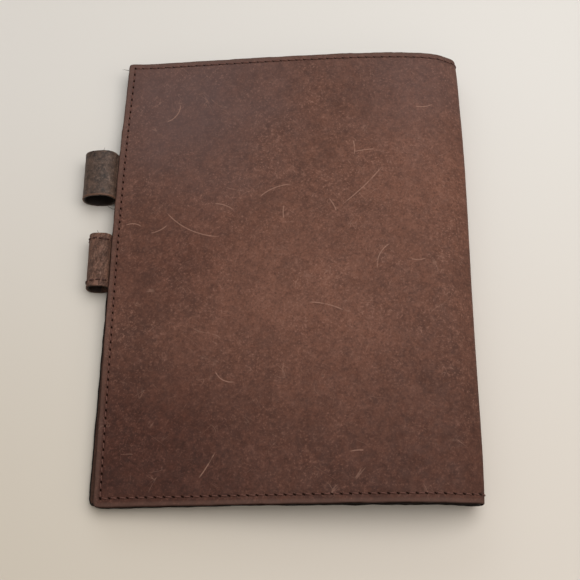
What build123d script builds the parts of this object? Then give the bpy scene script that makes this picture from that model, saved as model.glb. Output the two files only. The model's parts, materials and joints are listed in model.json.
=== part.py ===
from build123d import *
import math
import os

# Leather notebook cover for an A5 notebook, closed and empty, lying on its front panel.
# +X runs towards the spine, +Y towards the head, +Z up. The origin is under the middle of
# the closed cover, on the surface that it lies on. All sizes are millimetres and degrees.

# Sizes of the closed cover
COVER_HEIGHT = 222.0        # along the spine, Y
BACK_PANEL_X = 0.0          # fore edge of the back panel, before the shift to the origin
FRONT_OVERHANG = 1.0        # how far the front panel's fore edge stands out past the back panel's
FIRST_BEND_X = 160.4        # where the front panel ends and the spine starts to bend
EDGE_GAP = 0.8              # between the two pockets where they meet at the fore edge

# Leather plies
OUTER_PLY = 1.6
LINING_PLY = 0.8
POCKET_PLY = 1.2
SHEET = OUTER_PLY + LINING_PLY
POCKET_WIDTH = 58.0         # from the fore edge towards the spine

# The spine is one bent sheet: stiff strips between bends, listed from the front panel up
STRIP_LENGTHS = (9.5, 13.0)
STRIP_ANGLES = (70.0, 145.0)    # each strip's direction in the XZ plane
STRIP_GAP = 0.1                 # each leaf stops this far short of its bend

# Seam: a thread that lies in a shallow groove round the outer ply
SEAM_INSET = 3.4
GROOVE_WIDTH = 0.9
GROOVE_DEPTH = 0.5
THREAD_WIDTH = 0.7
THREAD_HEIGHT = 0.4

# Pen loops: each is an oval sleeve with a tab that is sewn in between outer ply and lining
TAB_DEPTH = 5.0             # into the cover from the fore edge
TAB_PLAY = 0.2              # the notch in the lining is larger than the tab by this
UPPER_LOOP_REACH = 17.70    # how far the upper loop stands out past the back panel
UPPER_LOOP_Y = 47.2
UPPER_LOOP_LENGTH = 23.4
UPPER_LOOP_RADII = (8.6, 6.2)
UPPER_LOOP_CENTRE = (9.0, -1.55)    # outwards from the fore edge, inwards from the lining
UPPER_LOOP_PLY = 1.3
UPPER_TAB_END = 1.2                 # where the tab runs into the sleeve's wall
LOWER_LOOP_Y = 3.3
LOWER_LOOP_LENGTH = 25.8
LOWER_LOOP_RADII = (6.0, 5.0)
LOWER_LOOP_CENTRE = (5.9, 2.9)
LOWER_LOOP_PLIES = (0.8, 0.7)       # outer ply, inner ply
LOWER_TAB_END = 2.0
LOOP_SEAM_INSET = 2.8               # from each mouth of the lower loop to its seam
LOOP_THREAD = (0.6, 0.3)            # width along the loop, depth into the ply

# The origin is under the middle of the closed cover's box: from the upper loop to the spine
STEEP = math.radians(STRIP_ANGLES[0])
SPINE_X = FIRST_BEND_X + STRIP_LENGTHS[0] * math.cos(STEEP) + SHEET * math.sin(STEEP)
X_SHIFT = -(SPINE_X + BACK_PANEL_X - UPPER_LOOP_REACH) / 2


class Leaf:
    """A flat length of the folded sheet. It starts on the sheet's inner surface at (x, z)."""

    def __init__(self, x, z, angle, length, fore_edge=None):
        turn = math.radians(angle)
        self.along = Vector(math.cos(turn), 0, math.sin(turn))
        self.inwards = Vector(-math.sin(turn), 0, math.cos(turn))
        self.start = Vector(x, 0, z)
        self.end = self.start + self.along * length
        self.plane = Plane(self.start, x_dir=self.along, z_dir=self.inwards)
        self.length = length
        self.fore_edge = fore_edge      # None on a spine strip, "start" or "end" on a panel
        self.cut_start = 0.0 if fore_edge == "start" else STRIP_GAP
        self.cut_end = length if fore_edge == "end" else length - STRIP_GAP

    def measure(self, depth):
        """The place along the leaf that lies depth mm in from its fore edge."""
        return depth if self.fore_edge == "start" else self.length - depth

    def edge_plane(self, y):
        """Cross-section plane at the fore edge: x runs outwards, y towards the inside."""
        outwards = self.along if self.fore_edge == "end" else -self.along
        corner = self.end if self.fore_edge == "end" else self.start
        origin = corner + Vector(0, y, 0)
        return Plane(origin, x_dir=outwards, z_dir=outwards.cross(self.inwards))


def fold_sheet():
    """The folded sheet: front panel, spine strips and back panel, in that order."""
    front_x = BACK_PANEL_X - FRONT_OVERHANG + X_SHIFT
    bend_x = FIRST_BEND_X + X_SHIFT
    leaves = [Leaf(front_x, SHEET, 0.0, bend_x - front_x, "start")]
    for length, angle in zip(STRIP_LENGTHS, STRIP_ANGLES):
        last = leaves[-1].end
        leaves.append(Leaf(last.X, last.Z, angle, length))
    top = leaves[-1].end
    edge_x = BACK_PANEL_X + X_SHIFT
    edge_z = SHEET + 2 * POCKET_PLY + EDGE_GAP
    run, fall = top.X - edge_x, top.Z - edge_z
    angle = 180.0 + math.degrees(math.atan2(fall, run))
    leaves.append(Leaf(top.X, top.Z, angle, math.hypot(run, fall), "end"))
    return leaves


def draw_span(start, end, y_low, y_high):
    """A rectangle in the current sketch between two places along a leaf."""
    with Locations(((start + end) / 2, (y_low + y_high) / 2)):
        Rectangle(end - start, y_high - y_low)


def draw_seam(leaf, width):
    """The seam's lines on a leaf: head, tail and, on a panel, the fore edge."""
    seam_y = COVER_HEIGHT / 2 - SEAM_INSET
    start, end = leaf.cut_start, leaf.cut_end
    if leaf.fore_edge == "start":
        start = leaf.measure(SEAM_INSET) - width / 2
    if leaf.fore_edge == "end":
        end = leaf.measure(SEAM_INSET) + width / 2
    for side in (-1, 1):
        draw_span(start, end, side * seam_y - width / 2, side * seam_y + width / 2)
    if leaf.fore_edge:
        across = leaf.measure(SEAM_INSET)
        draw_span(across - width / 2, across + width / 2, -seam_y, seam_y)


def make_outer(leaf):
    """The thick outer ply of one leaf, with the seam's groove in its outer face."""
    with BuildPart() as piece:
        with BuildSketch(leaf.plane.offset(-SHEET)):
            draw_span(leaf.cut_start, leaf.cut_end, -COVER_HEIGHT / 2, COVER_HEIGHT / 2)
        extrude(amount=OUTER_PLY)
        with BuildSketch(leaf.plane.offset(-SHEET)):
            draw_seam(leaf, GROOVE_WIDTH)
        extrude(amount=GROOVE_DEPTH, mode=Mode.SUBTRACT)
    return piece


def make_lining(leaf, notch=None):
    """The thin lining of one leaf. The notch, (y, length), leaves room for a loop's tab."""
    with BuildPart() as piece:
        with BuildSketch(leaf.plane.offset(-LINING_PLY)):
            draw_span(leaf.cut_start, leaf.cut_end, -COVER_HEIGHT / 2, COVER_HEIGHT / 2)
        extrude(amount=LINING_PLY)
        if notch:
            middle, half = notch[0], notch[1] / 2 + TAB_PLAY
            deep = leaf.measure(TAB_DEPTH + TAB_PLAY)
            edge = leaf.measure(0)
            with BuildSketch(leaf.plane.offset(-LINING_PLY)):
                draw_span(min(deep, edge), max(deep, edge), middle - half, middle + half)
            extrude(amount=LINING_PLY, mode=Mode.SUBTRACT)
    return piece


def make_pocket(leaf):
    """The sleeve pocket of one panel, lying flat on the lining."""
    deep, edge = leaf.measure(POCKET_WIDTH), leaf.measure(0)
    with BuildPart() as piece:
        with BuildSketch(leaf.plane):
            draw_span(min(deep, edge), max(deep, edge), -COVER_HEIGHT / 2, COVER_HEIGHT / 2)
        extrude(amount=POCKET_PLY)
        spine_side = piece.faces().sort_by(Axis.X)[-1]
        fillet(spine_side.edges().filter_by(Axis.Y), POCKET_PLY / 4)
    return piece


def make_seam(leaf):
    """The thread in the groove of one leaf, just below the leather's face."""
    with BuildPart() as piece:
        with BuildSketch(leaf.plane.offset(-SHEET + GROOVE_DEPTH - THREAD_HEIGHT)):
            draw_seam(leaf, THREAD_WIDTH)
        extrude(amount=THREAD_HEIGHT)
    return piece


def draw_oval(centre, radii, inset):
    """An oval in the current sketch, inset mm inside the sleeve's outer face."""
    with Locations(centre):
        Ellipse(radii[0] - inset, radii[1] - inset)


def draw_wall(centre, radii, outside, inside):
    """A sleeve's wall in the current sketch, between two insets from its outer face."""
    draw_oval(centre, radii, outside)
    with Locations(centre):
        Ellipse(radii[0] - inside, radii[1] - inside, mode=Mode.SUBTRACT)


def make_sleeve(leaf, y, length, centre, radii, ply, tab_end):
    """A pen loop's sewn ply: the oval sleeve and its tab in the lining's notch."""
    with BuildPart() as piece:
        with BuildSketch(leaf.edge_plane(y)):
            with Locations(((tab_end - TAB_DEPTH) / 2, -LINING_PLY / 2)):
                Rectangle(tab_end + TAB_DEPTH, LINING_PLY)
            draw_wall(centre, radii, 0, ply)
        extrude(amount=length / 2, both=True)
    return piece


def cut_loop_grooves(sleeve, leaf):
    """The two grooves round the lower loop's outer ply, one near each mouth."""
    with BuildPart() as piece:
        add(sleeve.part)
        for y in loop_seam_places():
            with BuildSketch(leaf.edge_plane(y)):
                draw_wall(LOWER_LOOP_CENTRE, LOWER_LOOP_RADII, 0, LOOP_THREAD[1])
            extrude(amount=LOOP_THREAD[0] / 2, both=True, mode=Mode.SUBTRACT)
    return piece


def loop_seam_places():
    """Where the lower loop's two seams lie along Y."""
    reach = LOWER_LOOP_LENGTH / 2 - LOOP_SEAM_INSET
    return LOWER_LOOP_Y - reach, LOWER_LOOP_Y + reach


def make_inner_ply(leaf):
    """The lower loop's inner ply, a plain sleeve inside the sewn one."""
    with BuildPart() as piece:
        with BuildSketch(leaf.edge_plane(LOWER_LOOP_Y)):
            draw_wall(
                LOWER_LOOP_CENTRE, LOWER_LOOP_RADII, LOWER_LOOP_PLIES[0], sum(LOWER_LOOP_PLIES)
            )
        extrude(amount=LOWER_LOOP_LENGTH / 2, both=True)
    return piece


def make_loop_seams(leaf):
    """The lower loop's two seams, each a thread round the sleeve."""
    with BuildPart() as piece:
        for y in loop_seam_places():
            with BuildSketch(leaf.edge_plane(y)):
                draw_wall(LOWER_LOOP_CENTRE, LOWER_LOOP_RADII, 0, LOOP_THREAD[1])
                with Locations((LOWER_LOOP_CENTRE[0] - LOWER_LOOP_RADII[0], 0)):
                    Rectangle(TAB_DEPTH, LOWER_LOOP_RADII[1], mode=Mode.SUBTRACT)
            extrude(amount=LOOP_THREAD[0] / 2, both=True)
    return piece


def write(piece, name):
    """Label one finished piece and write its STEP file."""
    piece.part.label = name
    export_step(piece.part, f"parts/{name}.step")


os.makedirs("parts", exist_ok=True)
sheet = fold_sheet()
front, strips, back = sheet[0], sheet[1:-1], sheet[-1]

# Front panel, underneath
write(make_outer(front), "outer_front_panel")
write(make_lining(front, (LOWER_LOOP_Y, LOWER_LOOP_LENGTH)), "lining_front_panel")
write(make_pocket(front), "front_sleeve_pocket")
write(make_seam(front), "seam_front_panel")

# Spine, from the front panel up to the back panel
for number, strip in enumerate(strips, start=1):
    write(make_outer(strip), f"outer_spine_strip_{number}")
    write(make_lining(strip), f"lining_spine_strip_{number}")
    write(make_seam(strip), f"seam_spine_strip_{number}")

# Back panel, on top
write(make_outer(back), "outer_back_panel")
write(make_lining(back, (UPPER_LOOP_Y, UPPER_LOOP_LENGTH)), "lining_back_panel")
write(make_pocket(back), "back_sleeve_pocket")
write(make_seam(back), "seam_back_panel")

# Upper pen loop, one ply, on the back panel
upper_loop = make_sleeve(
    back, UPPER_LOOP_Y, UPPER_LOOP_LENGTH, UPPER_LOOP_CENTRE, UPPER_LOOP_RADII,
    UPPER_LOOP_PLY, UPPER_TAB_END,
)
write(upper_loop, "upper_pen_loop")

# Lower pen loop, two plies, on the front panel
lower_sleeve = make_sleeve(
    front, LOWER_LOOP_Y, LOWER_LOOP_LENGTH, LOWER_LOOP_CENTRE, LOWER_LOOP_RADII,
    LOWER_LOOP_PLIES[0], LOWER_TAB_END,
)
write(cut_loop_grooves(lower_sleeve, front), "lower_pen_loop_outer_ply")
write(make_inner_ply(front), "lower_pen_loop_inner_ply")
write(make_loop_seams(front), "lower_pen_loop_seams")

bends = [(round(leaf.end.X, 3), round(leaf.end.Z, 3)) for leaf in sheet[:-1]]
print("bend lines (x, z):", bends)
print("back panel slopes by", round(math.degrees(math.atan2(back.along.Z, back.along.X)), 3))
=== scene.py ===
import json
import math
import random

import bmesh
import bpy
import numpy as np
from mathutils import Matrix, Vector, noise


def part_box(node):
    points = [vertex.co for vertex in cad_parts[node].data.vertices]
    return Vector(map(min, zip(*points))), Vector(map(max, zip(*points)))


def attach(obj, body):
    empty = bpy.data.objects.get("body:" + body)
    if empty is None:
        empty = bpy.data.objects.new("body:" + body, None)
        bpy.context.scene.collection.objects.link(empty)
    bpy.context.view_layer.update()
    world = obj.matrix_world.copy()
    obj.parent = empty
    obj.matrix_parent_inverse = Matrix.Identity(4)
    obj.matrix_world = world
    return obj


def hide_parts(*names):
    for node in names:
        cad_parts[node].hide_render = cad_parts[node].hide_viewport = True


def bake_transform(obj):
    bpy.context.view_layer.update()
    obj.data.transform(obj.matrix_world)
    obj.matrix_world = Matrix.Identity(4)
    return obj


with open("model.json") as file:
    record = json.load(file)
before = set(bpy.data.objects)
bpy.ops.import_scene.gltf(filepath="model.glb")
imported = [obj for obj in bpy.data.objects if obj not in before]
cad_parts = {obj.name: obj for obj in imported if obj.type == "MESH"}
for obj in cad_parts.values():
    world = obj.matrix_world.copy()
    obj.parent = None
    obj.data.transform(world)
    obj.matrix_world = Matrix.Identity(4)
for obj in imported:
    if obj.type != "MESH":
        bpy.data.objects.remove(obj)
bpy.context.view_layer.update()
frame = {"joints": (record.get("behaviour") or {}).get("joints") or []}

# Lengths are millimetres until a mesh is made. The sheet is described by three coordinates:
# s along the folded sheet from the front panel's fore edge round the spine to the back
# panel's fore edge, y towards the head, and n outwards from the lining's inner face.
MM = 0.001


def node_box(name):
    """The lowest and highest corner of a CAD node, in millimetres."""
    low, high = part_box(name)
    return np.array(low) / MM, np.array(high) / MM


lining_low, lining_high = node_box("lining_front_panel")
pocket_low, pocket_high = node_box("front_sleeve_pocket")
back_low, back_high = node_box("lining_back_panel")
BENDS = [np.array(joint["pos_m"])[[0, 2]] / MM for joint in frame["joints"]]
FRONT_EDGE = np.array([lining_low[0], lining_high[2]])
BACK_EDGE = np.array([back_low[0], back_low[2]])
TAIL, HEAD = lining_low[1], lining_high[1]
LINING_PLY = lining_high[2] - lining_low[2]
SHEET = lining_high[2] - node_box("outer_front_panel")[0][2]
POCKET_PLY = pocket_high[2] - pocket_low[2]
POCKET_WIDTH = pocket_high[0] - pocket_low[0]

# How the empty cover lies. The spine strips carry the sheet round the back as one soft roll:
# its direction half-way up each strip, where that second point lies from the strip's own
# middle, and how firmly the back panel holds its direction at either end.
SIDE_HEADING = 78
ROLL_HEADING = 148
ROLL_SHIFT = (-1.9, -0.6)
SIDE_HOLD = 5.5
ROLL_HOLD = 15.0
FORE_HOLD = 68.0
FORE_HEADING = 6.25

# Seam insets from the cut edges, and how the threads lie. The front panel's stitches are
# pressed into the leather that the cover rests on.
HEAD_INSET = 2.7
TAIL_INSET = 3.9
FORE_INSET = 3.1
STITCH_PITCH = 3.9
FORE_STITCH_PITCH = 3.55
THREAD_RADIUS = 0.26
PRESSED = 0.42

# How far a loop's strap reaches into the seam, and its skived thickness there
TAB_REACH = 4.6
TAB_PLY = 0.38

FIBRE_RADIUS = 0.14

# Hand cutting and folding: where the fore edges and the tail edge lie off the true rectangle.
# The panels lean in towards the head, and the front panel sits a little higher than the back.
BACK_EDGE_OUT = 2.4
BACK_EDGE_LEAN = 4.0
FRONT_EDGE_OUT = 4.3
FRONT_EDGE_SLOPE = 3.6
FRONT_EDGE_LEAN = 3.4
FRONT_RISE = (2.8, 1.9)
RAGGED_REACH = 2.2
TAIL_CORNER = (3.6, 1.6)
HEAD_CORNER = (1.6, 1.4)
CORNER_LIFT = 1.1
CORNER_LIFT_REACH = 9.0

# The spine bows outwards a little, most of all above its middle, and is pinched at its ends
SPINE_BOW = 0.95
SPINE_BOW_HEIGHT = 0.72
SPINE_BOW_REACH = 0.22
SPINE_PINCH = 0.9
SPINE_PINCH_REACH = 0.035

# How far past the second strip's middle the leather still bends when the cover opens
BACK_BEND_REACH = 26.0


# ---------------------------------------------------------------- the folded section

def bezier(a, b, c, count=60):
    """Points of a bend from a to c with its corner at b."""
    t = np.linspace(0, 1, count)[:, None]
    return (1 - t) ** 2 * a + 2 * t * (1 - t) * b + t ** 2 * c


class Section:
    """A curve in the XZ plane, followed by its length s, with an outward side n."""

    def __init__(self, points):
        points = np.array(points)
        steps = np.linalg.norm(np.diff(points, axis=0), axis=1)
        s = np.concatenate([[0.0], np.cumsum(steps)])
        self.length = s[-1]
        self.s = np.linspace(0, self.length, int(self.length / 0.1) + 2)
        self.x = np.interp(self.s, s, points[:, 0])
        self.z = np.interp(self.s, s, points[:, 1])
        turn = np.unwrap(np.arctan2(np.gradient(self.z), np.gradient(self.x)))
        kernel = np.ones(5) / 5
        padded = np.concatenate([[turn[0]] * 2, turn, [turn[-1]] * 2])
        self.turn = np.convolve(padded, kernel, "valid")

    def at(self, s):
        """x, z and direction at s. Past an end the curve goes straight on."""
        inside = np.clip(s, 0, self.length)
        x, z = np.interp(inside, self.s, self.x), np.interp(inside, self.s, self.z)
        turn = np.interp(inside, self.s, self.turn)
        past = s - inside
        return x + past * np.cos(turn), z + past * np.sin(turn), turn

    def place(self, s, y, n):
        """Points in millimetres for arrays of s, y and n."""
        x, z, turn = self.at(s)
        return np.stack([x + n * np.sin(turn), y + 0 * s, z - n * np.cos(turn)], axis=-1)


def heading(degrees):
    return np.array([math.cos(math.radians(degrees)), math.sin(math.radians(degrees))])


def cubic(a, b, c, d, count=120):
    """Points of a soft curve from a to d, pulled towards b and c."""
    t = np.linspace(0, 1, count)[:, None]
    return (1 - t) ** 3 * a + 3 * t * (1 - t) ** 2 * b + 3 * t ** 2 * (1 - t) * c + t ** 3 * d


def make_fold():
    """The sheet's section, and the s of its bends' ends: (front, strip 1, strip 2, back)."""
    first, second, third = BENDS
    side = (first + second) / 2
    roll = (second + third) / 2 + np.array(ROLL_SHIFT)
    front_bend = first - np.array([np.linalg.norm(second - first) / 2, 0])
    up, over, along = heading(SIDE_HEADING), heading(ROLL_HEADING), heading(FORE_HEADING)
    runs = [
        np.linspace(FRONT_EDGE, front_bend, 40),
        cubic(front_bend, front_bend + heading(0) * 3.2, side - up * 3.0, side),
        cubic(side, side + up * SIDE_HOLD, roll - over * SIDE_HOLD, roll),
        cubic(roll, roll + over * ROLL_HOLD, BACK_EDGE + along * FORE_HOLD, BACK_EDGE, 400),
    ]
    lengths = [np.linalg.norm(np.diff(run, axis=0), axis=1) for run in runs]
    marks = np.cumsum([length.sum() for length in lengths])
    back_bend = marks[2] + BACK_BEND_REACH
    points = np.vstack([runs[0]] + [run[1:] for run in runs[1:]])
    return Section(points), [*marks[:3], back_bend]


FOLD, MARKS = make_fold()
FRONT_BEND_S, STRIP_1_S, STRIP_2_S, BACK_BEND_S = MARKS
END = FOLD.length

SEAM_START, SEAM_END = FORE_INSET, END - FORE_INSET
SEAM_LOW, SEAM_HIGH = TAIL + TAIL_INSET, HEAD - HEAD_INSET
ALONG_COUNT = round((SEAM_END - SEAM_START) / STITCH_PITCH)
ALONG_PITCH = (SEAM_END - SEAM_START) / ALONG_COUNT
ACROSS_COUNT = round((SEAM_HIGH - SEAM_LOW) / FORE_STITCH_PITCH)
ACROSS_PITCH = (SEAM_HIGH - SEAM_LOW) / ACROSS_COUNT


def waver(values, seed, size, reach):
    """A slow random wander along an edge, between -size and size."""
    return np.array([noise.noise(Vector((v / reach, seed, 0))) for v in np.ravel(values)]
                    ).reshape(np.shape(values)) * size


def smooth(value):
    """A smooth step from 0 to 1."""
    value = np.clip(value, 0, 1)
    return value * value * (3 - 2 * value)


def hand_cut(s, y):
    """Where a point of the true rectangle really lies on the sheet."""
    height = (y - TAIL) / (HEAD - TAIL)
    back = np.clip((s - BACK_BEND_S) / (END - BACK_BEND_S), 0, 1)
    front = np.clip((FRONT_BEND_S - s) / FRONT_BEND_S, 0, 1)
    begin = STRIP_1_S + 3 + 13 * (1 - height)
    turned = smooth((begin - s) / (begin - FRONT_BEND_S + 10))
    out = BACK_EDGE_OUT - BACK_EDGE_LEAN * height ** 4
    under = FRONT_EDGE_OUT - FRONT_EDGE_SLOPE * height - FRONT_EDGE_LEAN * height ** 4
    rise = FRONT_RISE[0] * turned + (FRONT_RISE[1] - FRONT_RISE[0]) * front
    return s + out * back - under * front, y + rise


def round_corners(s, y):
    """The rectangle with its four corners rounded."""
    middle = (HEAD + TAIL) / 2
    side_s, side_y = np.sign(s - END / 2), np.sign(y - middle)
    reach_s = np.where(side_y < 0, TAIL_CORNER[0], HEAD_CORNER[0])
    reach_y = np.where(side_y < 0, TAIL_CORNER[1], HEAD_CORNER[1])
    into_s = np.clip((np.abs(s - END / 2) - (END / 2 - reach_s)) / reach_s, 0, None)
    into_y = np.clip((np.abs(y - middle) - ((HEAD - TAIL) / 2 - reach_y)) / reach_y, 0, None)
    both = (into_s > 0) & (into_y > 0)
    size = np.where(both, np.hypot(into_s, into_y), 1.0)
    keep = np.where(both, np.maximum(into_s, into_y) / size, 1.0)
    return s - side_s * into_s * (1 - keep) * reach_s, y - side_y * into_y * (1 - keep) * reach_y


def ragged(along, n, from_edge, seed):
    """How far a cut edge wanders off its line, a little differently in each ply."""
    close = np.atleast_1d(from_edge < RAGGED_REACH)
    total = np.zeros(close.shape)
    a, b = np.atleast_1d(along)[close], np.atleast_1d(n)[close]
    slow = [noise.noise(Vector((p / 7, q * 0.3, seed))) * 0.26 for p, q in zip(a, b)]
    fast = [noise.noise(Vector((p / 1.6, q * 0.8, seed + 5))) * 0.12 for p, q in zip(a, b)]
    total[close] = (np.array(slow) + fast) * (1 - np.atleast_1d(from_edge)[close] / RAGGED_REACH)
    return total.reshape(np.shape(from_edge))


def sheet_place(s, y, n):
    """The whole sheet's place: the section, with the outline as it was cut by hand."""
    s, y, n = np.broadcast_arrays(np.asarray(s, float), np.asarray(y, float), np.asarray(n, float))
    across = ragged(s, n, np.minimum(y - TAIL, HEAD - y), 61.0)
    along = ragged(y, n, np.minimum(s, END - s), 71.0)
    s, y = hand_cut(*round_corners(s, y))
    s, y = s + along, y + across
    from_corner = np.hypot(END - s, (HEAD - y) * 0.8)
    n = n + CORNER_LIFT * np.exp(-(from_corner / CORNER_LIFT_REACH) ** 2)
    placed = FOLD.place(s, y, n)
    height = (y - TAIL) / (HEAD - TAIL)
    bow = SPINE_BOW * np.exp(-((height - SPINE_BOW_HEIGHT) / SPINE_BOW_REACH) ** 2)
    bow = bow - SPINE_PINCH * (np.exp(-height / SPINE_PINCH_REACH) + np.exp((height - 1) / SPINE_PINCH_REACH))
    near = smooth((s - FRONT_BEND_S + 60) / 60) * smooth((BACK_BEND_S + 60 - s) / 60)
    placed[..., 0] += bow * near
    return placed


# ---------------------------------------------------------------- meshes

def finish_mesh(name, points, faces, sheet=None, sharp=40):
    """An object from points in millimetres, smooth but for its sharp edges."""
    mesh = bpy.data.meshes.new(name)
    mesh.from_pydata((np.asarray(points) * MM).tolist(), [], faces)
    if sheet is not None:
        attribute = mesh.attributes.new("sheet", "FLOAT_VECTOR", "POINT")
        attribute.data.foreach_set("vector", (np.asarray(sheet) * MM).astype(np.float32).ravel())
    shape = bmesh.new()
    shape.from_mesh(mesh)
    bmesh.ops.recalc_face_normals(shape, faces=shape.faces)
    limit = math.radians(sharp)
    for face in shape.faces:
        face.smooth = True
    for edge in shape.edges:
        if len(edge.link_faces) == 2 and edge.calc_face_angle(0) > limit:
            edge.smooth = False
    shape.to_mesh(mesh)
    shape.free()
    thing = bpy.data.objects.new(name, mesh)
    bpy.context.scene.collection.objects.link(thing)
    return thing


def grid_values(fixed, loose, gap=0.25):
    """Sorted grid values: all of fixed, and those of loose that keep a gap from them."""
    fixed = sorted(set(round(float(v), 4) for v in fixed))
    kept = [float(v) for v in loose if min(abs(v - f) for f in fixed) > gap]
    return np.array(sorted(fixed + kept))


def rim(low, high, sizes=(0.0, 0.1, 0.28, 0.6)):
    """Grid values close to two free edges, for their rounding."""
    return [low + size for size in sizes] + [high - size for size in sizes]


def rounding(distance, radius):
    """How far a rounded edge falls, at a distance in from the cut."""
    share = np.clip(1 - distance / radius, 0, 1)
    return radius * (1 - np.sqrt(np.clip(1 - share ** 2, 0, 1)))


def slab(name, s_values, y_values, low, high, place, rough=0.05):
    """A closed sheet between n = low and n = high, given as grids over s and y."""
    s, y = np.meshgrid(s_values, y_values, indexing="ij")
    rows, columns = s.shape
    low, high = np.broadcast_to(low, s.shape), np.broadcast_to(high, s.shape)
    top = np.stack([s, y, high], axis=-1).reshape(-1, 3)
    bottom = np.stack([s, y, low], axis=-1).reshape(-1, 3)
    index = np.arange(rows * columns).reshape(rows, columns)
    ring = np.concatenate([index[0, :-1], index[:-1, -1], index[-1, :0:-1], index[:0:-1, 0]])
    walls = []
    for share in (0.3, 0.7):
        wall = top[ring] * (1 - share) + bottom[ring] * share
        wander = [noise.noise(Vector(p) * 0.9 + Vector((share * 9, 0, 0))) for p in wall]
        wall[:, 2] += np.array(wander) * rough
        walls.append(wall)
    sheet = np.vstack([top, bottom] + walls)
    total = rows * columns
    corners = np.stack([index[:-1, :-1], index[:-1, 1:], index[1:, 1:], index[1:, :-1]], axis=-1)
    quads = corners.reshape(-1, 4)
    faces = quads.tolist() + (quads[:, ::-1] + total).tolist()
    loops = [ring, 2 * total + np.arange(len(ring)), 2 * total + len(ring) + np.arange(len(ring)),
             ring + total]
    for upper, lower in zip(loops, loops[1:]):
        faces += np.stack([upper, lower, np.roll(lower, -1), np.roll(upper, -1)], axis=1).tolist()
    return finish_mesh(name, place(sheet[:, 0], sheet[:, 1], sheet[:, 2]), faces, sheet)


def seam_dip(s, y):
    """How far the leather sinks round the seam, more at each hole."""
    def dip(across, along, pitch):
        near = np.exp(-(across / 0.75) ** 2)
        hole = 0.5 + 0.5 * np.cos(2 * math.pi * along / pitch)
        return near * (0.08 + 0.16 * hole)
    inside = (s > SEAM_START - 0.5) & (s < SEAM_END + 0.5)
    total = np.zeros(np.shape(s))
    for line in (SEAM_LOW, SEAM_HIGH):
        total = np.maximum(total, dip(y - line, s - SEAM_START, ALONG_PITCH) * inside)
    inside = (y > SEAM_LOW - 0.5) & (y < SEAM_HIGH + 0.5)
    for line in (SEAM_START, SEAM_END):
        total = np.maximum(total, dip(s - line, y - SEAM_LOW, ACROSS_PITCH) * inside)
    return total


def swell(s, y, size, reach, seed):
    """Slow unevenness of a hide, from 0 to size."""
    flat = [noise.fractal(Vector((a / reach, b / reach, seed)), 1.0, 2.0, 3)
            for a, b in zip(np.ravel(s), np.ravel(y))]
    return (0.5 + 0.5 * np.clip(np.array(flat), -1, 1)).reshape(np.shape(s)) * size


def panel_grid(start, end, inset=0.0):
    """Grid values over s and y for a ply of the sheet between start and end."""
    seam_s = [line + step for line in (SEAM_START, SEAM_END) for step in (-1.3, -0.6, 0, 0.6, 1.3)]
    seam_y = [line + step for line in (SEAM_LOW, SEAM_HIGH) for step in (-1.3, -0.6, 0, 0.6, 1.3)]
    fixed = [start, end] + [v for v in rim(inset, END - inset) + seam_s if start < v < end]
    if start > 0:
        fixed.append(start + 0.03)
    if end < END:
        fixed.append(end - 0.03)
    stations = SEAM_START + np.arange(0, ALONG_COUNT + 0.5, 0.5) * ALONG_PITCH
    bent = np.arange(FRONT_BEND_S, BACK_BEND_S, 0.6)
    loose = [v for v in np.concatenate([stations[(stations < FRONT_BEND_S) | (stations > BACK_BEND_S)],
                                        bent]) if start < v < end]
    stations = SEAM_LOW + np.arange(0, ACROSS_COUNT + 0.5, 0.5) * ACROSS_PITCH
    y_values = grid_values(rim(TAIL + inset, HEAD - inset) + seam_y, stations)
    return grid_values(fixed, loose), y_values


def edge_distance(s, y, inset=0.0):
    """How far a point is from the sheet's nearest cut edge."""
    return np.minimum.reduce([s - inset, END - inset - s, y - TAIL - inset, HEAD - inset - y])


def make_ply(name, start, end, low, high, inset, radius, dips):
    """One ply of the folded sheet between start and end."""
    s_values, y_values = panel_grid(start, end, inset)
    s, y = np.meshgrid(s_values, y_values, indexing="ij")
    away = edge_distance(s, y, inset)
    top = high - rounding(away, radius)
    if dips:
        top = top - seam_dip(s, y) - swell(s, y, 0.22, 38, 2.0) * np.clip(away / 6, 0, 1)
    return slab(name, s_values, y_values, low + rounding(away, radius * 0.5), top, sheet_place)


SPANS = {
    "front": (0.0, STRIP_1_S),
    "spine": (STRIP_1_S, STRIP_2_S),
    "back": (STRIP_2_S, END),
}
CROSSES = {
    "front": ("front_cover", "spine_strip_1", FRONT_BEND_S, STRIP_1_S),
    "spine": ("spine_strip_1", "spine_strip_2", STRIP_1_S, STRIP_2_S),
    "back": ("spine_strip_2", "back_cover", STRIP_2_S, BACK_BEND_S),
}


def bend_with(piece, part):
    """Bakes the piece's place into its mesh. The joint that its stretch of the sheet crosses is looked up, but
    the piece is not made to bend with it.
    """
    body_a, body_b, start, end = CROSSES[part]
    ends = [FOLD.place(np.array(s), np.array(0.0), np.array(0.0)) * MM for s in (start, end)]
    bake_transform(piece)


# ---------------------------------------------------------------- threads

def stitch_rings(pitch, slant, radius, rise=0.17):
    """One stitch's tube as rings of (along, across, up), from hole to hole."""
    rings = []
    for t in np.linspace(0.1, 0.9, 9):
        arch = math.sin(math.pi * (t - 0.1) / 0.8)
        along = t * pitch
        across = slant * (t - 0.5) * 2
        up = -0.38 + (rise + 0.38) * arch ** 0.55
        wide = radius * (0.72 + 0.28 * arch ** 0.5)
        turned = [2 * math.pi * k / 8 for k in range(8)]
        rings.append([(along, across + wide * math.cos(a), up + wide * 0.85 * math.sin(a))
                      for a in turned])
    return rings


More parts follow.
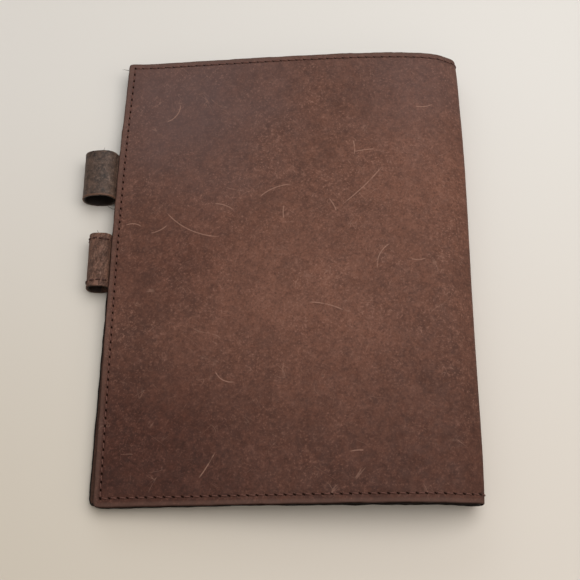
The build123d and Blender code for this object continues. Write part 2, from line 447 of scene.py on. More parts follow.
def make_stitches(name, stitches, place, radius=THREAD_RADIUS):
    """Stitches as one piece. Each is (origin, direction, pitch, slant, level, side)."""
    points, faces, sheet = [], [], []
    for number, ((s, y), (ds, dy), pitch, slant, level, side) in enumerate(stitches):
        first = len(points)
        rings = stitch_rings(pitch, slant + 0.05 * math.sin(number * 2.3), radius)
        for ring in rings:
            for along, across, up in ring:
                points.append((s + ds * along - dy * across, y + dy * along + ds * across,
                               level + side * up))
                sheet.append((along + number * pitch, across, up))
        sides = len(rings[0])
        for i in range(len(rings) - 1):
            for k in range(sides):
                a, b = first + i * sides + k, first + i * sides + (k + 1) % sides
                faces.append((a, b, b + sides, a + sides))
        faces.append(tuple(first + k for k in range(sides)))
        last = first + (len(rings) - 1) * sides
        faces.append(tuple(last + k for k in reversed(range(sides))))
    points = np.array(points)
    placed = place(points[:, 0], points[:, 1], points[:, 2])
    return finish_mesh(name, placed, faces, np.array(sheet), sharp=70)


def seam_stitches(part, side):
    """The perimeter seam's stitches on one stretch of the sheet, outside or inside."""
    start, end = SPANS[part]
    found = []

    def level(s):
        if side > 0:
            return SHEET - PRESSED * smooth((STRIP_1_S - s) / 6)
        pocket = s < POCKET_WIDTH or s > END - POCKET_WIDTH
        return -POCKET_PLY if pocket else 0.0

    for line in (SEAM_LOW, SEAM_HIGH):
        for k in range(ALONG_COUNT):
            s = SEAM_START + k * ALONG_PITCH
            if start <= s + ALONG_PITCH / 2 < end:
                at = level(s + ALONG_PITCH / 2)
                found.append(((s, line), (1, 0), ALONG_PITCH, 0.24 * side, at, side))
    for line in (SEAM_START, SEAM_END):
        if start <= line <= end:
            for k in range(ACROSS_COUNT):
                y = SEAM_LOW + k * ACROSS_PITCH
                found.append(((line, y), (0, 1), ACROSS_PITCH, -0.16 * side, level(line), side))
    return found


# ---------------------------------------------------------------- pen loops

class Loop:
    """A pen loop: an oval strap whose two ends are sewn in at a fore edge.

    Its middle line runs from inside the seam round the oval and back. middle is the oval's
    centre, outwards from the fore edge and outwards from the lining's inner face, sweep
    gives the oval's first and last angle, counted from its side next to the panel. cut is
    how far its two cut ends lie nearer the head than drawn, and round is 1 for an ellipse
    and less for a squarer oval.
    """

    def __init__(self, node, edge_s, outwards, middle, radii, wall, sweep, tab, cut, round=0.85):
        low, high = node_box(node)
        self.low_y, self.high_y = low[1] + cut[0], high[1] + cut[1]
        self.side = outwards
        x, z, turn = FOLD.at(hand_cut(np.array(edge_s), (self.low_y + self.high_y) / 2)[0])
        away = np.array([math.cos(turn), math.sin(turn)]) * outwards
        up = np.array([math.sin(turn), -math.cos(turn)])
        wide, tall = radii[0] - wall / 2, radii[1] - wall / 2
        phi = np.radians(np.linspace(*sweep, 160))
        across, over = np.cos(phi), np.sin(phi)
        oval = np.stack([middle[0] - wide * np.sign(across) * np.abs(across) ** round,
                         middle[1] + tall * np.sign(over) * np.abs(over) ** round], axis=1)
        first, last = tab
        start = bezier(np.array([-0.6, first]), self.corner(oval[0], oval[1], first), oval[0], 14)
        finish = bezier(oval[-1], self.corner(oval[-1], oval[-2], last), np.array([-0.6, last]), 14)
        route = np.vstack([[[-TAB_REACH, first]], start, oval[1:-1], finish, [[-TAB_REACH, last]]])
        self.section = Section(np.array([x, z]) + route[:, :1] * away + route[:, 1:] * up)

    @staticmethod
    def corner(point, following, level):
        """Where the oval's tangent at its end meets the tab's level."""
        heading = point - following
        if abs(heading[1]) < 1e-6:
            return np.array([point[0] / 2, level])
        u = point[0] + heading[0] * (level - point[1]) / heading[1]
        return np.array([np.clip(u, -0.4, max(point[0], 0.8)), level])


def make_loop(name, loop, ply, middle, reach, wrinkles, seed):
    """One ply of a loop. middle is how far its own middle lies outside the loop's middle line."""
    length = loop.section.length
    start, end = reach, length - reach
    s_values = np.concatenate([[start, start + 0.1], np.linspace(start + 0.6, end - 0.6, 170),
                               [end - 0.1, end]])
    y_values = grid_values(rim(loop.low_y, loop.high_y, (0, 0.08, 0.22, 0.5)),
                           np.linspace(loop.low_y, loop.high_y, 34))
    s, y = np.meshgrid(s_values, y_values, indexing="ij")
    away = np.minimum(y - loop.low_y, loop.high_y - y)
    free = np.clip((np.minimum(s, length - s) - TAB_REACH) / 3.0, 0, 1)
    free = free * free * (3 - 2 * free)
    half = TAB_PLY / 2 + (ply - TAB_PLY) / 2 * free
    creases = swell(s, y * 0.3, wrinkles, 1.7, seed) + swell(s * 0.5, y, wrinkles, 3.5, seed + 1)
    fold = creases * free
    flare = 0.12 * np.exp(-(away / 1.4) ** 2) * free
    centre = middle * free + flare
    top = centre + half - rounding(away, 0.25) - fold
    low = centre - half + rounding(away, 0.2)

    def place(s, y, n):
        ragged = waver(s, seed, 0.3, 7.0) + waver(s, seed + 4, 0.1, 1.3)
        near = np.clip(1 - np.minimum(np.abs(y - loop.low_y), np.abs(loop.high_y - y)) / 3, 0, 1)
        return loop.section.place(s, y + ragged * near, n * loop.side)

    return slab(name, s_values, y_values, low, top, place, rough=0.08), place


def loop_stitches(loop, outside, rows, pitch, reach):
    """A loop's short seams: rows are the y of each, and they leave the tab alone."""
    found = []
    for row in rows:
        count = int((loop.section.length - 2 * reach) / pitch)
        for k in range(count):
            start = (reach + k * pitch, row + 0.28 * math.sin(1.3 * k + row))
            found.append((start, (1, 0), pitch, 0.12, outside, 1))
    return found


def make_fibre(name, root, heading, length, seed):
    """A frayed fibre: a hair-thin tube that wanders as it leaves the cut edge."""
    random.seed(seed)
    points, faces = [], []
    place, step = Vector(root), Vector(heading).normalized() * (length / 8)
    sides = 5
    for k in range(9):
        wide = FIBRE_RADIUS * (1.1 - 0.08 * k)
        side = step.orthogonal().normalized() * wide
        other = step.cross(side).normalized() * wide
        for corner in range(sides):
            a = 2 * math.pi * corner / sides
            points.append(place + side * math.cos(a) + other * math.sin(a))
        place = place + step
        step = step + Vector((random.uniform(-1, 1), random.uniform(-1, 1), random.uniform(-0.4, 0.6))
                             ) * (length / 8) * 0.4
    for k in range(8):
        for corner in range(sides):
            a, b = k * sides + corner, k * sides + (corner + 1) % sides
            faces.append((a, b, b + sides, a + sides))
    faces.append(tuple(range(sides)))
    faces.append(tuple(8 * sides + corner for corner in reversed(range(sides))))
    points = np.array([tuple(point) for point in points])
    return finish_mesh(name, points, faces, points, sharp=80)


# ---------------------------------------------------------------- materials

class Finish:
    """A material's nodes. Its patterns are measured in millimetres on the sheet, so that they
    stay on the leather when it bends."""

    def __init__(self, name):
        self.material = bpy.data.materials.new(name)
        self.material.use_nodes = True
        self.tree = self.material.node_tree
        self.tree.nodes.clear()
        output = self.node("ShaderNodeOutputMaterial")
        self.surface = self.node("ShaderNodeBsdfPrincipled")
        self.tree.links.new(self.surface.outputs["BSDF"], output.inputs["Surface"])
        sheet = self.node("ShaderNodeAttribute", attribute_name="sheet")
        scaled = self.node("ShaderNodeVectorMath", operation="SCALE")
        self.feed(scaled.inputs[0], sheet.outputs["Vector"])
        scaled.inputs["Scale"].default_value = 1 / MM
        self.place = scaled.outputs[0]
        split = self.node("ShaderNodeSeparateXYZ")
        self.feed(split.inputs[0], self.place)
        self.s, self.y, self.n = split.outputs

    def node(self, kind, **settings):
        made = self.tree.nodes.new(kind)
        for key, value in settings.items():
            setattr(made, key, value)
        return made

    def feed(self, socket, value):
        if isinstance(value, bpy.types.NodeSocket):
            self.tree.links.new(value, socket)
        elif isinstance(value, tuple) and len(value) == 3 and socket.type == "RGBA":
            socket.default_value = (*value, 1)
        else:
            socket.default_value = value

    def math(self, operation, *values, clamp=False):
        made = self.node("ShaderNodeMath", operation=operation, use_clamp=clamp)
        for socket, value in zip(made.inputs, values):
            self.feed(socket, value)
        return made.outputs[0]

    def noise(self, size, seed=0.0, detail=2.0, rough=0.5, swirl=0.0, at=None):
        """Noise from 0 to 1 whose blots are about size millimetres."""
        made = self.node("ShaderNodeTexNoise", noise_dimensions="4D")
        self.feed(made.inputs["Vector"], self.place if at is None else at)
        made.inputs["W"].default_value = seed
        made.inputs["Scale"].default_value = 1 / size
        made.inputs["Detail"].default_value = detail
        made.inputs["Roughness"].default_value = rough
        made.inputs["Distortion"].default_value = swirl
        return made.outputs["Fac"]

    def cells(self, size, at=None):
        """Distance from the middle of each pebble of the grain."""
        made = self.node("ShaderNodeTexVoronoi", feature="SMOOTH_F1")
        self.feed(made.inputs["Vector"], self.place if at is None else at)
        made.inputs["Scale"].default_value = 1 / size
        made.inputs["Smoothness"].default_value = 0.6
        return made.outputs["Distance"]

    def turned(self, degrees, long, short):
        """The sheet's coordinates stretched along a heading."""
        made = self.node("ShaderNodeMapping", vector_type="TEXTURE")
        self.feed(made.inputs["Vector"], self.place)
        made.inputs["Rotation"].default_value = (0, 0, math.radians(degrees))
        made.inputs["Scale"].default_value = (long, short, short)
        return made.outputs[0]

    def span(self, value, low, high, out_low=0.0, out_high=1.0):
        """A smooth step of value between low and high."""
        made = self.node("ShaderNodeMapRange", interpolation_type="SMOOTHSTEP")
        for socket, given in zip(made.inputs, (value, low, high, out_low, out_high)):
            self.feed(socket, given)
        return made.outputs[0]

    def blend(self, share, first, second, mode="MIX"):
        made = self.node("ShaderNodeMix", data_type="RGBA", blend_type=mode)
        for socket, given in zip((made.inputs[0], made.inputs[6], made.inputs[7]),
                                 (share, first, second)):
            self.feed(socket, given)
        return made.outputs[2]

    def bump(self, height, depth):
        """Relief of the given depth in millimetres, on top of the relief so far."""
        made = self.node("ShaderNodeBump")
        made.inputs["Strength"].default_value = 1.0
        made.inputs["Distance"].default_value = depth * MM
        self.feed(made.inputs["Height"], height)
        before = self.surface.inputs["Normal"].links
        if before:
            self.feed(made.inputs["Normal"], before[0].from_socket)
        self.tree.links.new(made.outputs[0], self.surface.inputs["Normal"])

    def line(self, value, thin):
        """Thin lines along the places where a noise crosses its middle."""
        away = self.math("ABSOLUTE", self.math("SUBTRACT", value, 0.5))
        return self.span(away, 0.0, thin, 1.0, 0.0)

    def scratches(self, degrees, seed, often):
        """Faint hairline scratches near one heading, in patches."""
        lines = self.line(self.noise(1.0, seed, 1.0, 0.4, 0.15, self.turned(degrees, 40, 6)), 0.006)
        patches = self.span(self.noise(9, seed + 3, 2.0), often, often + 0.12)
        return self.math("MULTIPLY", lines, patches)

    def mark(self, x, y, heading, length, bow):
        """One scratch: an arc by the middle of its chord, heading in degrees, length and bow."""
        radius = length ** 2 / (8 * abs(bow)) + abs(bow) / 2
        back = radius - abs(bow)
        side = math.radians(heading + math.copysign(90, bow))
        towards = (math.cos(side), math.sin(side), 0)
        centre = (x - back * towards[0], y - back * towards[1], 0)
        from_centre = self.node("ShaderNodeVectorMath", operation="SUBTRACT")
        flat = self.node("ShaderNodeCombineXYZ")
        self.feed(flat.inputs[0], self.s)
        self.feed(flat.inputs[1], self.y)
        self.feed(from_centre.inputs[0], flat.outputs[0])
        from_centre.inputs[1].default_value = centre
        size = self.node("ShaderNodeVectorMath", operation="LENGTH")
        self.feed(size.inputs[0], from_centre.outputs[0])
        aside = self.math("ABSOLUTE", self.math("SUBTRACT", size.outputs["Value"], radius))
        reach = self.node("ShaderNodeVectorMath", operation="DOT_PRODUCT")
        self.feed(reach.inputs[0], from_centre.outputs[0])
        reach.inputs[1].default_value = towards
        half = length / 2 / radius
        cosine = self.math("DIVIDE", reach.outputs["Value"], size.outputs["Value"])
        within = self.span(cosine, math.cos(half), math.cos(half * 0.7))
        return self.math("MULTIPLY", self.span(aside, 0.08, 0.36, 1.0, 0.0), within)

    def lightest(self, values):
        total = values[0]
        for value in values[1:]:
            total = self.math("MAXIMUM", total, value)
        return total

    def holes(self, along, across, line, start, end, pitch, tilt, size):
        """Slit holes along one seam line, tilted in degrees, strongest in their middle: a mask for the holes'
        painted shade and relief.
        """
        step = self.math("DIVIDE", self.math("SUBTRACT", along, start), pitch)
        turn = self.math("SUBTRACT", self.math("FRACT", self.math("ADD", step, 0.5)), 0.5)
        ahead = self.math("MULTIPLY", turn, pitch)
        aside = self.math("SUBTRACT", across, line)
        cos, sin = math.cos(math.radians(tilt)), math.sin(math.radians(tilt))
        lengthwise = self.math("ADD", self.math("MULTIPLY", ahead, cos), self.math("MULTIPLY", aside, sin))
        sideways = self.math("SUBTRACT", self.math("MULTIPLY", aside, cos), self.math("MULTIPLY", ahead, sin))
        near = self.math("ADD", self.math("POWER", self.math("DIVIDE", lengthwise, size[0]), 2),
                         self.math("POWER", self.math("DIVIDE", sideways, size[1]), 2))
        spot = self.span(near, 0.3, 1.0, 1.0, 0.0)
        inside = self.math("MULTIPLY", self.math("GREATER_THAN", along, start - 1),
                           self.math("LESS_THAN", along, end + 1))
        return self.math("MULTIPLY", spot, inside)

    def seam_holes(self):
        """All the holes of the perimeter seam."""
        found = []
        for line, size in ((SEAM_LOW, (0.86, 0.37)), (SEAM_HIGH, (0.76, 0.31))):
            found.append(self.holes(self.s, self.y, line, SEAM_START, SEAM_END, ALONG_PITCH, 38, size))
        for line in (SEAM_START, SEAM_END):
            found.append(self.holes(self.y, self.s, line, SEAM_LOW, SEAM_HIGH, ACROSS_PITCH, 12,
                                    (0.80, 0.46)))
        return self.lightest(found)

    def patch(self, s, y, radius, seed):
        """A cloudy patch, 1 in its middle and 0 past its radius."""
        wander = self.math("MULTIPLY", self.math("SUBTRACT", self.noise(30, seed, 3.0), 0.5), 60)
        away = self.math("SQRT", self.math("ADD", self.math("POWER", self.math("SUBTRACT", self.s, s), 2),
                                           self.math("POWER", self.math("SUBTRACT", self.y, y), 2)))
        return self.span(self.math("ADD", away, wander), 0.0, radius, 1.0, 0.0)

    def edge_distance(self):
        """How far a point is from the sheet's nearest cut edge."""
        ends = self.math("MINIMUM", self.s, self.math("SUBTRACT", END, self.s))
        sides = self.math("MINIMUM", self.math("SUBTRACT", self.y, TAIL), self.math("SUBTRACT", HEAD, self.y))
        return self.math("MINIMUM", ends, sides)


# The scratches that the photographed back panel shows: middle (from its fore edge and from
# its tail edge), heading, length and bow, in millimetres and degrees.
MARKS_SEEN = (
    (38, 132, -29, 31, -3.5),
    (10, 132, -9, 8, 1.4),
    (22, 130, 26, 9, -0.8),
    (24, 193, -124, 13, 3.2),
    (76, 147, 23, 17, 1.8),
    (52, 140, -22, 10, 0.9),
    (80, 136, -90, 7, -0.3),
    (116, 149, 47, 27, -0.8),
    (102, 139, -64, 8, 0.3),
    (112, 169, -87, 8, 0.3),
    (117, 167, 7, 10, 0.3),
    (146, 192, 11, 9, -0.9),
    (125, 112, 65, 15, 2.4),
    (140, 111, 3, 7, -0.8),
    (99, 88, -16, 17, 1.1),
    (55, 57, -32, 11, -2.3),
    (48, 17, 59, 13, -0.3),
    (111, 22, 4, 6, 0.3),
)


def leather_colour(finish, dark, middle, light, rubbed=None):
    """Waxed hide: broad cloudy tones, mottling and fine specks, paler where it is rubbed."""
    clouds = ((62, 1.0, 0.13), (14, 2.0, 0.19), (4.2, 6.0, 0.34), (1.5, 7.0, 0.34))
    tone = 0.0
    for size, seed, share in clouds:
        cloud = finish.noise(size, seed, 3.0, 0.6, 0.5)
        tone = finish.math("ADD", tone, finish.math("MULTIPLY", cloud, share))
    tone = finish.span(tone, 0.37, 0.63)
    if rubbed is not None:
        tone = finish.math("ADD", finish.math("MULTIPLY", tone, 0.6), finish.math("MULTIPLY", rubbed, 0.4))
    base = finish.blend(tone, dark, middle)
    dots = finish.noise(1.0, 3.0, 2.0, 0.7)
    flecks = finish.noise(2.3, 4.0, 3.0, 0.7)
    scuffed = finish.span(finish.noise(18, 5.0, 3.0, 0.6), 0.35, 0.7, 0.4, 1.0)
    base = finish.blend(finish.span(dots, 0.47, 0.3, 0.0, 0.65), base, dark)
    base = finish.blend(finish.span(flecks, 0.45, 0.3, 0.0, 0.45), base, dark)
    pale = finish.math("MULTIPLY", scuffed, finish.span(flecks, 0.52, 0.7, 0.0, 0.35))
    base = finish.blend(pale, base, light)
    pale = finish.math("MULTIPLY", scuffed, finish.span(dots, 0.53, 0.7, 0.0, 0.6))
    return finish.blend(pale, base, light)


def grain_relief(finish, size=0.75, depth=0.05):
    """Pebbled grain, hair pores and a soft unevenness."""
    finish.bump(finish.noise(5.5, 11.0, 3.0, 0.55), 0.22)
    finish.bump(finish.cells(size), depth)
    finish.bump(finish.noise(0.35, 12.0, 3.0, 0.6), depth * 0.6)


def make_outer_leather():
    """Distressed crazy-horse leather: matt, waxy, scratched and rubbed paler where hands wear it.
    Its colour also carries painted shade towards the tail, at its cut edges and in the stitch holes,
    and painted sheen near the head and along the cut edges.
    """
    finish = Finish("outer_leather")
    rubbed = finish.lightest([finish.patch(END - 88, TAIL + 92, 95, 31.0),
                              finish.patch(END - 135, TAIL + 150, 75, 32.0),
                              finish.patch(82, TAIL + 96, 105, 33.0)])
    base = leather_colour(finish, (0.068, 0.029, 0.020), (0.178, 0.077, 0.051), (0.29, 0.150, 0.110), rubbed)
    # Darker towards the tail edge, partly as painted shade
    tail_shade_and_tone = finish.span(finish.y, TAIL - 20, TAIL + 115, 1.0, 0.0)
    base = finish.blend(tail_shade_and_tone, base, (0.62, 0.555, 0.55), "MULTIPLY")
    # Darker at both fore corners by the tail and half-way up the back panel's fore edge, partly as painted
    # shade
    fore_shade_and_tone = finish.lightest([finish.patch(END - 14, TAIL + 26, 75, 36.0), finish.patch(14, TAIL + 30, 75, 37.0),
                            finish.math("MULTIPLY", 0.5, finish.patch(END - 22, TAIL + 112, 60, 38.0))])
    base = finish.blend(fore_shade_and_tone, base, (0.72, 0.62, 0.60), "MULTIPLY")
    # Painted sheen: cool grey patches near the head, where the window's reflection lies on the leather
    painted_sheen = finish.lightest([finish.patch(END - 32, HEAD - 22, 78, 34.0), finish.patch(40, HEAD - 30, 78, 35.0),
                             finish.math("MULTIPLY", 0.6, finish.patch(END - 140, HEAD - 12, 62, 39.0))])
    base = finish.blend(finish.math("MULTIPLY", painted_sheen, 0.5), base, (0.112, 0.074, 0.073))
    hair = finish.lightest([finish.scratches(turn, seed, often) for turn, seed, often in
                            ((35, 20.0, 0.54), (-50, 21.0, 0.56), (80, 22.0, 0.56), (5, 23.0, 0.57))])
    marks = finish.lightest([finish.mark(END - x, TAIL + y, 180 - angle, length, -bow)
                             for x, y, angle, length, bow in MARKS_SEEN])
    broken = finish.math("MULTIPLY", marks, finish.span(finish.noise(3.0, 24.0, 3.0), 0.22, 0.5))
    scratched = finish.math("MAXIMUM", finish.math("MULTIPLY", hair, 0.26),
                            finish.math("MULTIPLY", broken, 0.48))
    colour = finish.blend(scratched, base, (0.38, 0.22, 0.165))
    edge = finish.edge_distance()
    # Painted sheen: a greyer strip inside the cut edges, where the leather slopes down to its edge
    edge_sheen = finish.span(edge, 2.6, 1.4, 0.0, 0.4)
    colour = finish.blend(edge_sheen, colour, (0.112, 0.062, 0.048))
    # Near-black rim at the cut edges: partly a dark edge finish, partly painted shade
    colour = finish.blend(finish.span(edge, 0.7, 0.2, 0.0, 0.8), colour, (0.030, 0.012, 0.008))
    # Painted shade: the stitch holes are near black
    holes = finish.seam_holes()
    colour = finish.blend(holes, colour, (0.014, 0.006, 0.004))
    # The cut faces below the top face are near black: partly a dark edge finish, partly painted shade
    face = finish.span(finish.n, SHEET - 0.5, SHEET - 0.25)
    colour = finish.blend(face, (0.010, 0.006, 0.004), colour)
    finish.feed(finish.surface.inputs["Base Color"], colour)
    rough = finish.span(finish.noise(4, 15.0, 3.0), 0.3, 0.7, 0.64, 0.78)
    finish.feed(finish.surface.inputs["Roughness"], rough)
    shine = finish.math("MULTIPLY", face, finish.math("SUBTRACT", 1.0, holes))
    finish.feed(finish.surface.inputs["Specular IOR Level"], finish.math("MULTIPLY", shine, 0.2))
    grain_relief(finish)
    finish.bump(finish.math("SUBTRACT", 1.0, scratched), 0.04)
    finish.bump(finish.math("SUBTRACT", 1.0, holes), 0.5)
    return finish.material


def make_plain_leather(name, dark, middle, light, rough, flesh=None, cut=None, creased=0.0,
                       edged=False):
    """Leather of the smaller pieces. flesh is a back face painted darker as the shade inside a loop, on the
    side where n falls below 0, cut is (y, colour) of a rim that shows the hide's paler core, creased is how
    strongly creases across the strap show, in relief and with painted shade and highlight, and edged blackens
    the sheet's cut edges, partly as a dark edge finish and partly as painted shade."""
    finish = Finish(name)
    colour = leather_colour(finish, dark, middle, light)
    # Creases across the strap: painted shade in their hollows and a painted highlight along their crests, with
    # relief
    if creased:
        across = finish.noise(1.0, 41.0, 3.0, 0.6, 0.5, finish.turned(84, 8, 1.5))
        slanted = finish.noise(1.0, 42.0, 3.0, 0.6, 0.8, finish.turned(50, 6, 1.9))
        creases = finish.lightest([finish.line(across, 0.035), finish.math("MULTIPLY", 0.7,
                                                                            finish.line(slanted, 0.03))])
        colour = finish.blend(finish.math("MULTIPLY", creases, creased), colour, dark)
        ridge_highlight = finish.span(across, 0.5, 0.68, 0.0, 0.5 * creased)
        colour = finish.blend(ridge_highlight, colour, light)
        finish.bump(finish.math("SUBTRACT", 1.0, creases), 0.35 * creased)
    if cut is not None:
        colour = finish.blend(finish.span(finish.y, cut[0] + 1.1, cut[0] + 0.4, 0.0, 0.8), colour, cut[1])
    # The cut edges are blackened: partly a dark edge finish, partly painted shade
    if edged:
        colour = finish.blend(finish.span(finish.edge_distance(), 0.4, 0.95), (0.008, 0.005, 0.004), colour)
    # Painted shade: the back face, inside the loop, is painted darker
    if flesh is not None:
        colour = finish.blend(finish.span(finish.n, -0.1, 0.25), flesh, colour)
    finish.feed(finish.surface.inputs["Base Color"], colour)
    finish.feed(finish.surface.inputs["Roughness"],
                finish.span(finish.noise(3, 15.0, 3.0), 0.3, 0.7, rough - 0.06, rough + 0.08))
    finish.surface.inputs["Specular IOR Level"].default_value = 0.15 if edged else 0.3
    grain_relief(finish, 0.6, 0.04)
    return finish.material


def make_thread(name, dark, light, hole_shade):
    """Waxed twisted thread, with painted shade where it sinks into its holes."""
    finish = Finish(name)
    twist = finish.node("ShaderNodeTexWave", wave_type="BANDS", bands_direction="DIAGONAL")
    finish.feed(twist.inputs["Vector"], finish.place)
    twist.inputs["Scale"].default_value = 1.1
    base = finish.blend(twist.outputs["Fac"], dark, light)
    # Painted shade where the thread runs down into the holes
    if hole_shade:
        base = finish.blend(finish.span(finish.n, -0.16, 0.16), (0.010, 0.004, 0.003), base)
    finish.feed(finish.surface.inputs["Base Color"], base)
    finish.surface.inputs["Roughness"].default_value = 0.6
    finish.surface.inputs["Specular IOR Level"].default_value = 0.3
    finish.bump(twist.outputs["Fac"], 0.06)
    return finish.material


def dress(piece, material):
    piece.data.materials.append(material)


# ---------------------------------------------------------------- pieces

OUTER_LEATHER = make_outer_leather()
LINING_LEATHER = make_plain_leather("lining_leather", (0.022, 0.012, 0.008), (0.042, 0.023, 0.015),
                                    (0.075, 0.045, 0.032), 0.8, edged=True)
POCKET_LEATHER = make_plain_leather("pocket_leather", (0.040, 0.018, 0.012), (0.085, 0.038, 0.025),
                                    (0.13, 0.07, 0.05), 0.62, edged=True)
UPPER_LOOP_LEATHER = make_plain_leather("upper_loop_leather", (0.020, 0.0135, 0.011),
                                        (0.113, 0.068, 0.049), (0.20, 0.14, 0.11), 0.52,
                                        flesh=(0.016, 0.010, 0.007),
                                        cut=(node_box("upper_pen_loop")[0][1] + 0.6, (0.13, 0.065, 0.040)),
                                        creased=0.12)
LOWER_LOOP_LEATHER = make_plain_leather("lower_loop_leather", (0.058, 0.028, 0.019),
                                        (0.190, 0.092, 0.062), (0.28, 0.165, 0.12), 0.64, creased=0.6)
INNER_LOOP_LEATHER = make_plain_leather("lower_loop_inside_leather", (0.020, 0.011, 0.008),
                                        (0.035, 0.019, 0.013), (0.06, 0.035, 0.025), 0.75)
THREAD = make_thread("thread", (0.076, 0.028, 0.020), (0.165, 0.072, 0.054), True)
LOOP_THREAD = make_thread("loop_thread", (0.034, 0.012, 0.009), (0.075, 0.028, 0.021), False)
LOOSE_FIBRE = make_thread("loose_fibre", (0.032, 0.021, 0.017), (0.055, 0.037, 0.030), False)

NODES = {
    "front": ("outer_front_panel", "lining_front_panel", "seam_front_panel"),
    "spine": ("outer_spine_strip_1", "lining_spine_strip_1", "seam_spine_strip_1"),
    "back": ("outer_back_panel", "lining_back_panel", "seam_back_panel"),
}


def build_sheet():
    """The outer cover, its lining and the seam, each in three lengths that meet in the bends."""
    for part, (start, end) in SPANS.items():
        outer = make_ply("cover_" + part, start, end, LINING_PLY, SHEET, 0.0, 0.5, True)
        dress(outer, OUTER_LEATHER)
        lining = make_ply("inner_lining_" + part, start, end, 0.0, LINING_PLY, 0.0, 0.15, False)
        dress(lining, LINING_LEATHER)
        seam = make_stitches("perimeter_stitches_" + part, seam_stitches(part, 1) + seam_stitches(part, -1),
                             sheet_place)
        dress(seam, THREAD)
        for piece, node in zip((outer, lining, seam), NODES[part]):
            bend_with(piece, part)
            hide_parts(node)
            if part == "spine":
                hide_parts(node.replace("strip_1", "strip_2"))


def build_pockets():
    """The two sleeve pockets, sewn inside at three edges."""
    for part, start, end, body in (("front", 0.0, POCKET_WIDTH, "front_cover"),
                                   ("back", END - POCKET_WIDTH, END, "back_cover")):
        seam_s = [line + step for line in (SEAM_START, SEAM_END)
                  for step in (-1.3, -0.6, 0, 0.6, 1.3)]
        fixed = [start, end] + [v for v in seam_s + rim(start, end, (0.1, 0.3)) if start < v < end]
        s_values = grid_values(fixed, np.arange(start, end, 2.0))
        y_values = panel_grid(start, end)[1]
        s, y = np.meshgrid(s_values, y_values, indexing="ij")
        away = np.minimum(edge_distance(s, y), np.minimum(s - start, end - s))
        low = -POCKET_PLY + rounding(away, 0.3)
        piece = slab(part + "_pocket_flap", s_values, y_values, low, 0.0, sheet_place)
        dress(piece, POCKET_LEATHER)
        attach(piece, body)
        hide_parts(part + "_sleeve_pocket")


def build_upper_loop():
    loop = Loop("upper_pen_loop", END, 1.0, (8.25, 1.55), (8.0, 6.2), 1.3, (14, 346), (1.0, 0.6),
                (0.5, 1.2))
    piece = make_loop("upper_loop_strap", loop, 1.3, 0.0, 0.0, 0.12, 5.0)[0]
    dress(piece, UPPER_LOOP_LEATHER)
    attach(piece, "back_cover")
    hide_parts("upper_pen_loop")


def build_lower_loop():
    plies = (0.8, 0.7)
    wall = sum(plies)
    loop = Loop("lower_pen_loop_outer_ply", 0.0, -1.0, (4.45, -2.9), (5.4, 5.0), wall, (62, 366),
                (1.0, 0.6), (0.0, 1.0), 0.72)
    outer, place = make_loop("lower_loop_outer_strap", loop, plies[0], (wall - plies[0]) / 2, 0.0,
                             0.16, 7.0)
    inner = make_loop("lower_loop_inner_strap", loop, plies[1], -(wall - plies[1]) / 2 - 0.01, 8.0,
                      0.06, 9.0)[0]
    rows = (loop.low_y + 2.8, loop.high_y - 2.8)
    seam = make_stitches("lower_loop_stitches", loop_stitches(loop, wall / 2, rows, 2.7, 7.0), place,
                         0.34)
    parts = (("outer_ply", outer, LOWER_LOOP_LEATHER, "lower_loop_leather"),
             ("inner_ply", inner, INNER_LOOP_LEATHER, "lower_loop_leather"),
             ("seams", seam, LOOP_THREAD, "thread"))
    for node, piece, material, slot in parts:
        dress(piece, material)
        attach(piece, "front_cover")
        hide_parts("lower_pen_loop_" + node)


def build_fibres():
    """Frayed fibres that stand out from the cut edges, at the corner and at the loops."""
    head_corner = sheet_place(END, HEAD - 3.5, SHEET) * MM
    upper = node_box("upper_pen_loop")
    lower = node_box("lower_pen_loop_outer_ply")
    loop_top = ((upper[0][0] + 9.5) * MM, upper[1][1] * MM, (upper[1][2] - 0.6) * MM)
    under_loop = sheet_place(END, upper[0][1] - 4.5, SHEET / 2) * MM
    lower_top = ((lower[0][0] + 5.0) * MM, lower[1][1] * MM, (lower[1][2] - 0.8) * MM)
    places = (("fibre_corner", head_corner, (-1, -0.4, 0.1), 2.4, 1, "back_cover"),
              ("fibre_upper_loop", loop_top, (0.0, 1, 0.3), 1.6, 2, "back_cover"),
              ("fibre_under_loop", under_loop, (-1, 0.2, 0.1), 2.6, 3, "back_cover"),
              ("fibre_lower_loop_1", lower_top, (0.2, 1, 0.4), 1.3, 4, "front_cover"),
              ("fibre_lower_loop_2", lower_top, (-0.8, 0.9, 0.2), 1.8, 5, "front_cover"))
    for name, root, towards, length, seed, body in places:
        fibre = make_fibre(name, np.array(root) / MM, towards, length, seed)
        dress(fibre, LOOSE_FIBRE)
        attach(fibre, body)


build_sheet()
build_pockets()
build_upper_loop()
build_lower_loop()
build_fibres()


# ---------------------------------------------------------------- floor, light and camera

def area_light(name, place, target, size, power, colour):
    data = bpy.data.lights.new(name, "AREA")
    data.shape = "RECTANGLE"
    data.size, data.size_y = size
    data.energy = power
    data.color = colour
    light = bpy.data.objects.new(name, data)
    light.location = place
    light.rotation_euler = (Vector(target) - Vector(place)).to_track_quat("-Z", "Y").to_euler()
    bpy.context.scene.collection.objects.link(light)


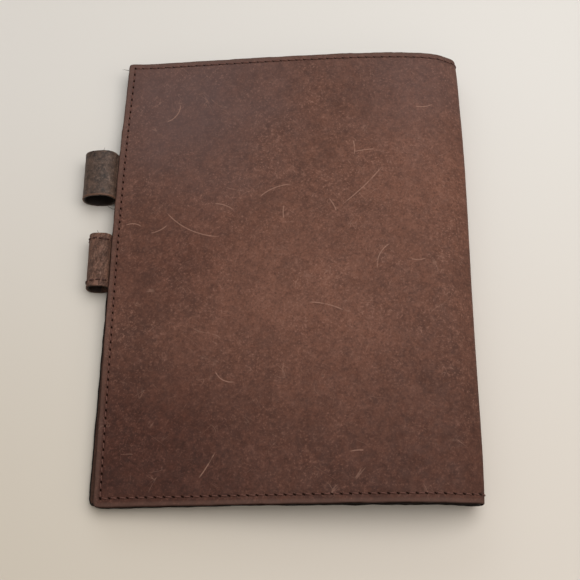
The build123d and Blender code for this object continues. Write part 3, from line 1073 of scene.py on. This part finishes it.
def build_floor():
    mesh = bpy.data.meshes.new("floor")
    half = 2.5
    mesh.from_pydata([(-half, -half, 0), (half, -half, 0), (half, half, 0), (-half, half, 0)], [],
                     [(0, 1, 2, 3)])
    floor = bpy.data.objects.new("floor", mesh)
    bpy.context.scene.collection.objects.link(floor)
    mesh.materials.append(make_table())


def make_table():
    """A plain pale table with painted light: darker and warmer towards the viewer and to the left, lighter to
    the right and further away.
    """
    finish = Finish("pale_table")
    where = finish.node("ShaderNodeTexCoord")
    split = finish.node("ShaderNodeSeparateXYZ")
    finish.feed(split.inputs[0], where.outputs["Object"])
    across, away = split.outputs[0], split.outputs[1]
    # Painted light and warm bounce: brighter to the right and away from the viewer
    near = finish.blend(finish.span(across, -0.16, 0.16), (0.58, 0.53, 0.455), (0.67, 0.625, 0.57))
    far = finish.blend(finish.span(across, -0.16, 0.16), (0.66, 0.64, 0.61), (0.715, 0.70, 0.675))
    finish.feed(finish.surface.inputs["Base Color"], finish.blend(finish.span(away, -0.16, 0.14), near, far))
    finish.surface.inputs["Roughness"].default_value = 0.8
    finish.surface.inputs["Specular IOR Level"].default_value = 0.2
    return finish.material


build_floor()
world = bpy.data.worlds.new("studio")
bpy.context.scene.world = world
world.use_nodes = True
world.node_tree.nodes["Background"].inputs["Color"].default_value = (1.0, 0.91, 0.80, 1)
world.node_tree.nodes["Background"].inputs["Strength"].default_value = 0.3
area_light("key", (0.42, 0.2, 1.45), (0, 0, 0), (1.6, 1.6), 21.5, (1.0, 0.985, 0.97))
area_light("window", (-0.3, 1.4, 0.8), (0, 0, 0), (1.4, 0.7), 5, (0.82, 0.91, 1.0))
area_light("room", (1.1, -0.2, 0.9), (0, 0, 0), (0.9, 0.9), 2, (1.0, 0.88, 0.74))

camera_data = bpy.data.cameras.new("camera")
camera_data.lens = 66.65
camera_data.sensor_width = 36
camera_data.clip_start = 0.01
camera = bpy.data.objects.new("camera", camera_data)
camera.location = (0.0066, -0.1981, 0.4655)
camera.rotation_euler = (math.radians(22.24), math.radians(-0.09), math.radians(-0.01))
bpy.context.scene.collection.objects.link(camera)
bpy.context.scene.camera = camera
bpy.context.scene.view_settings.view_transform = "Standard"
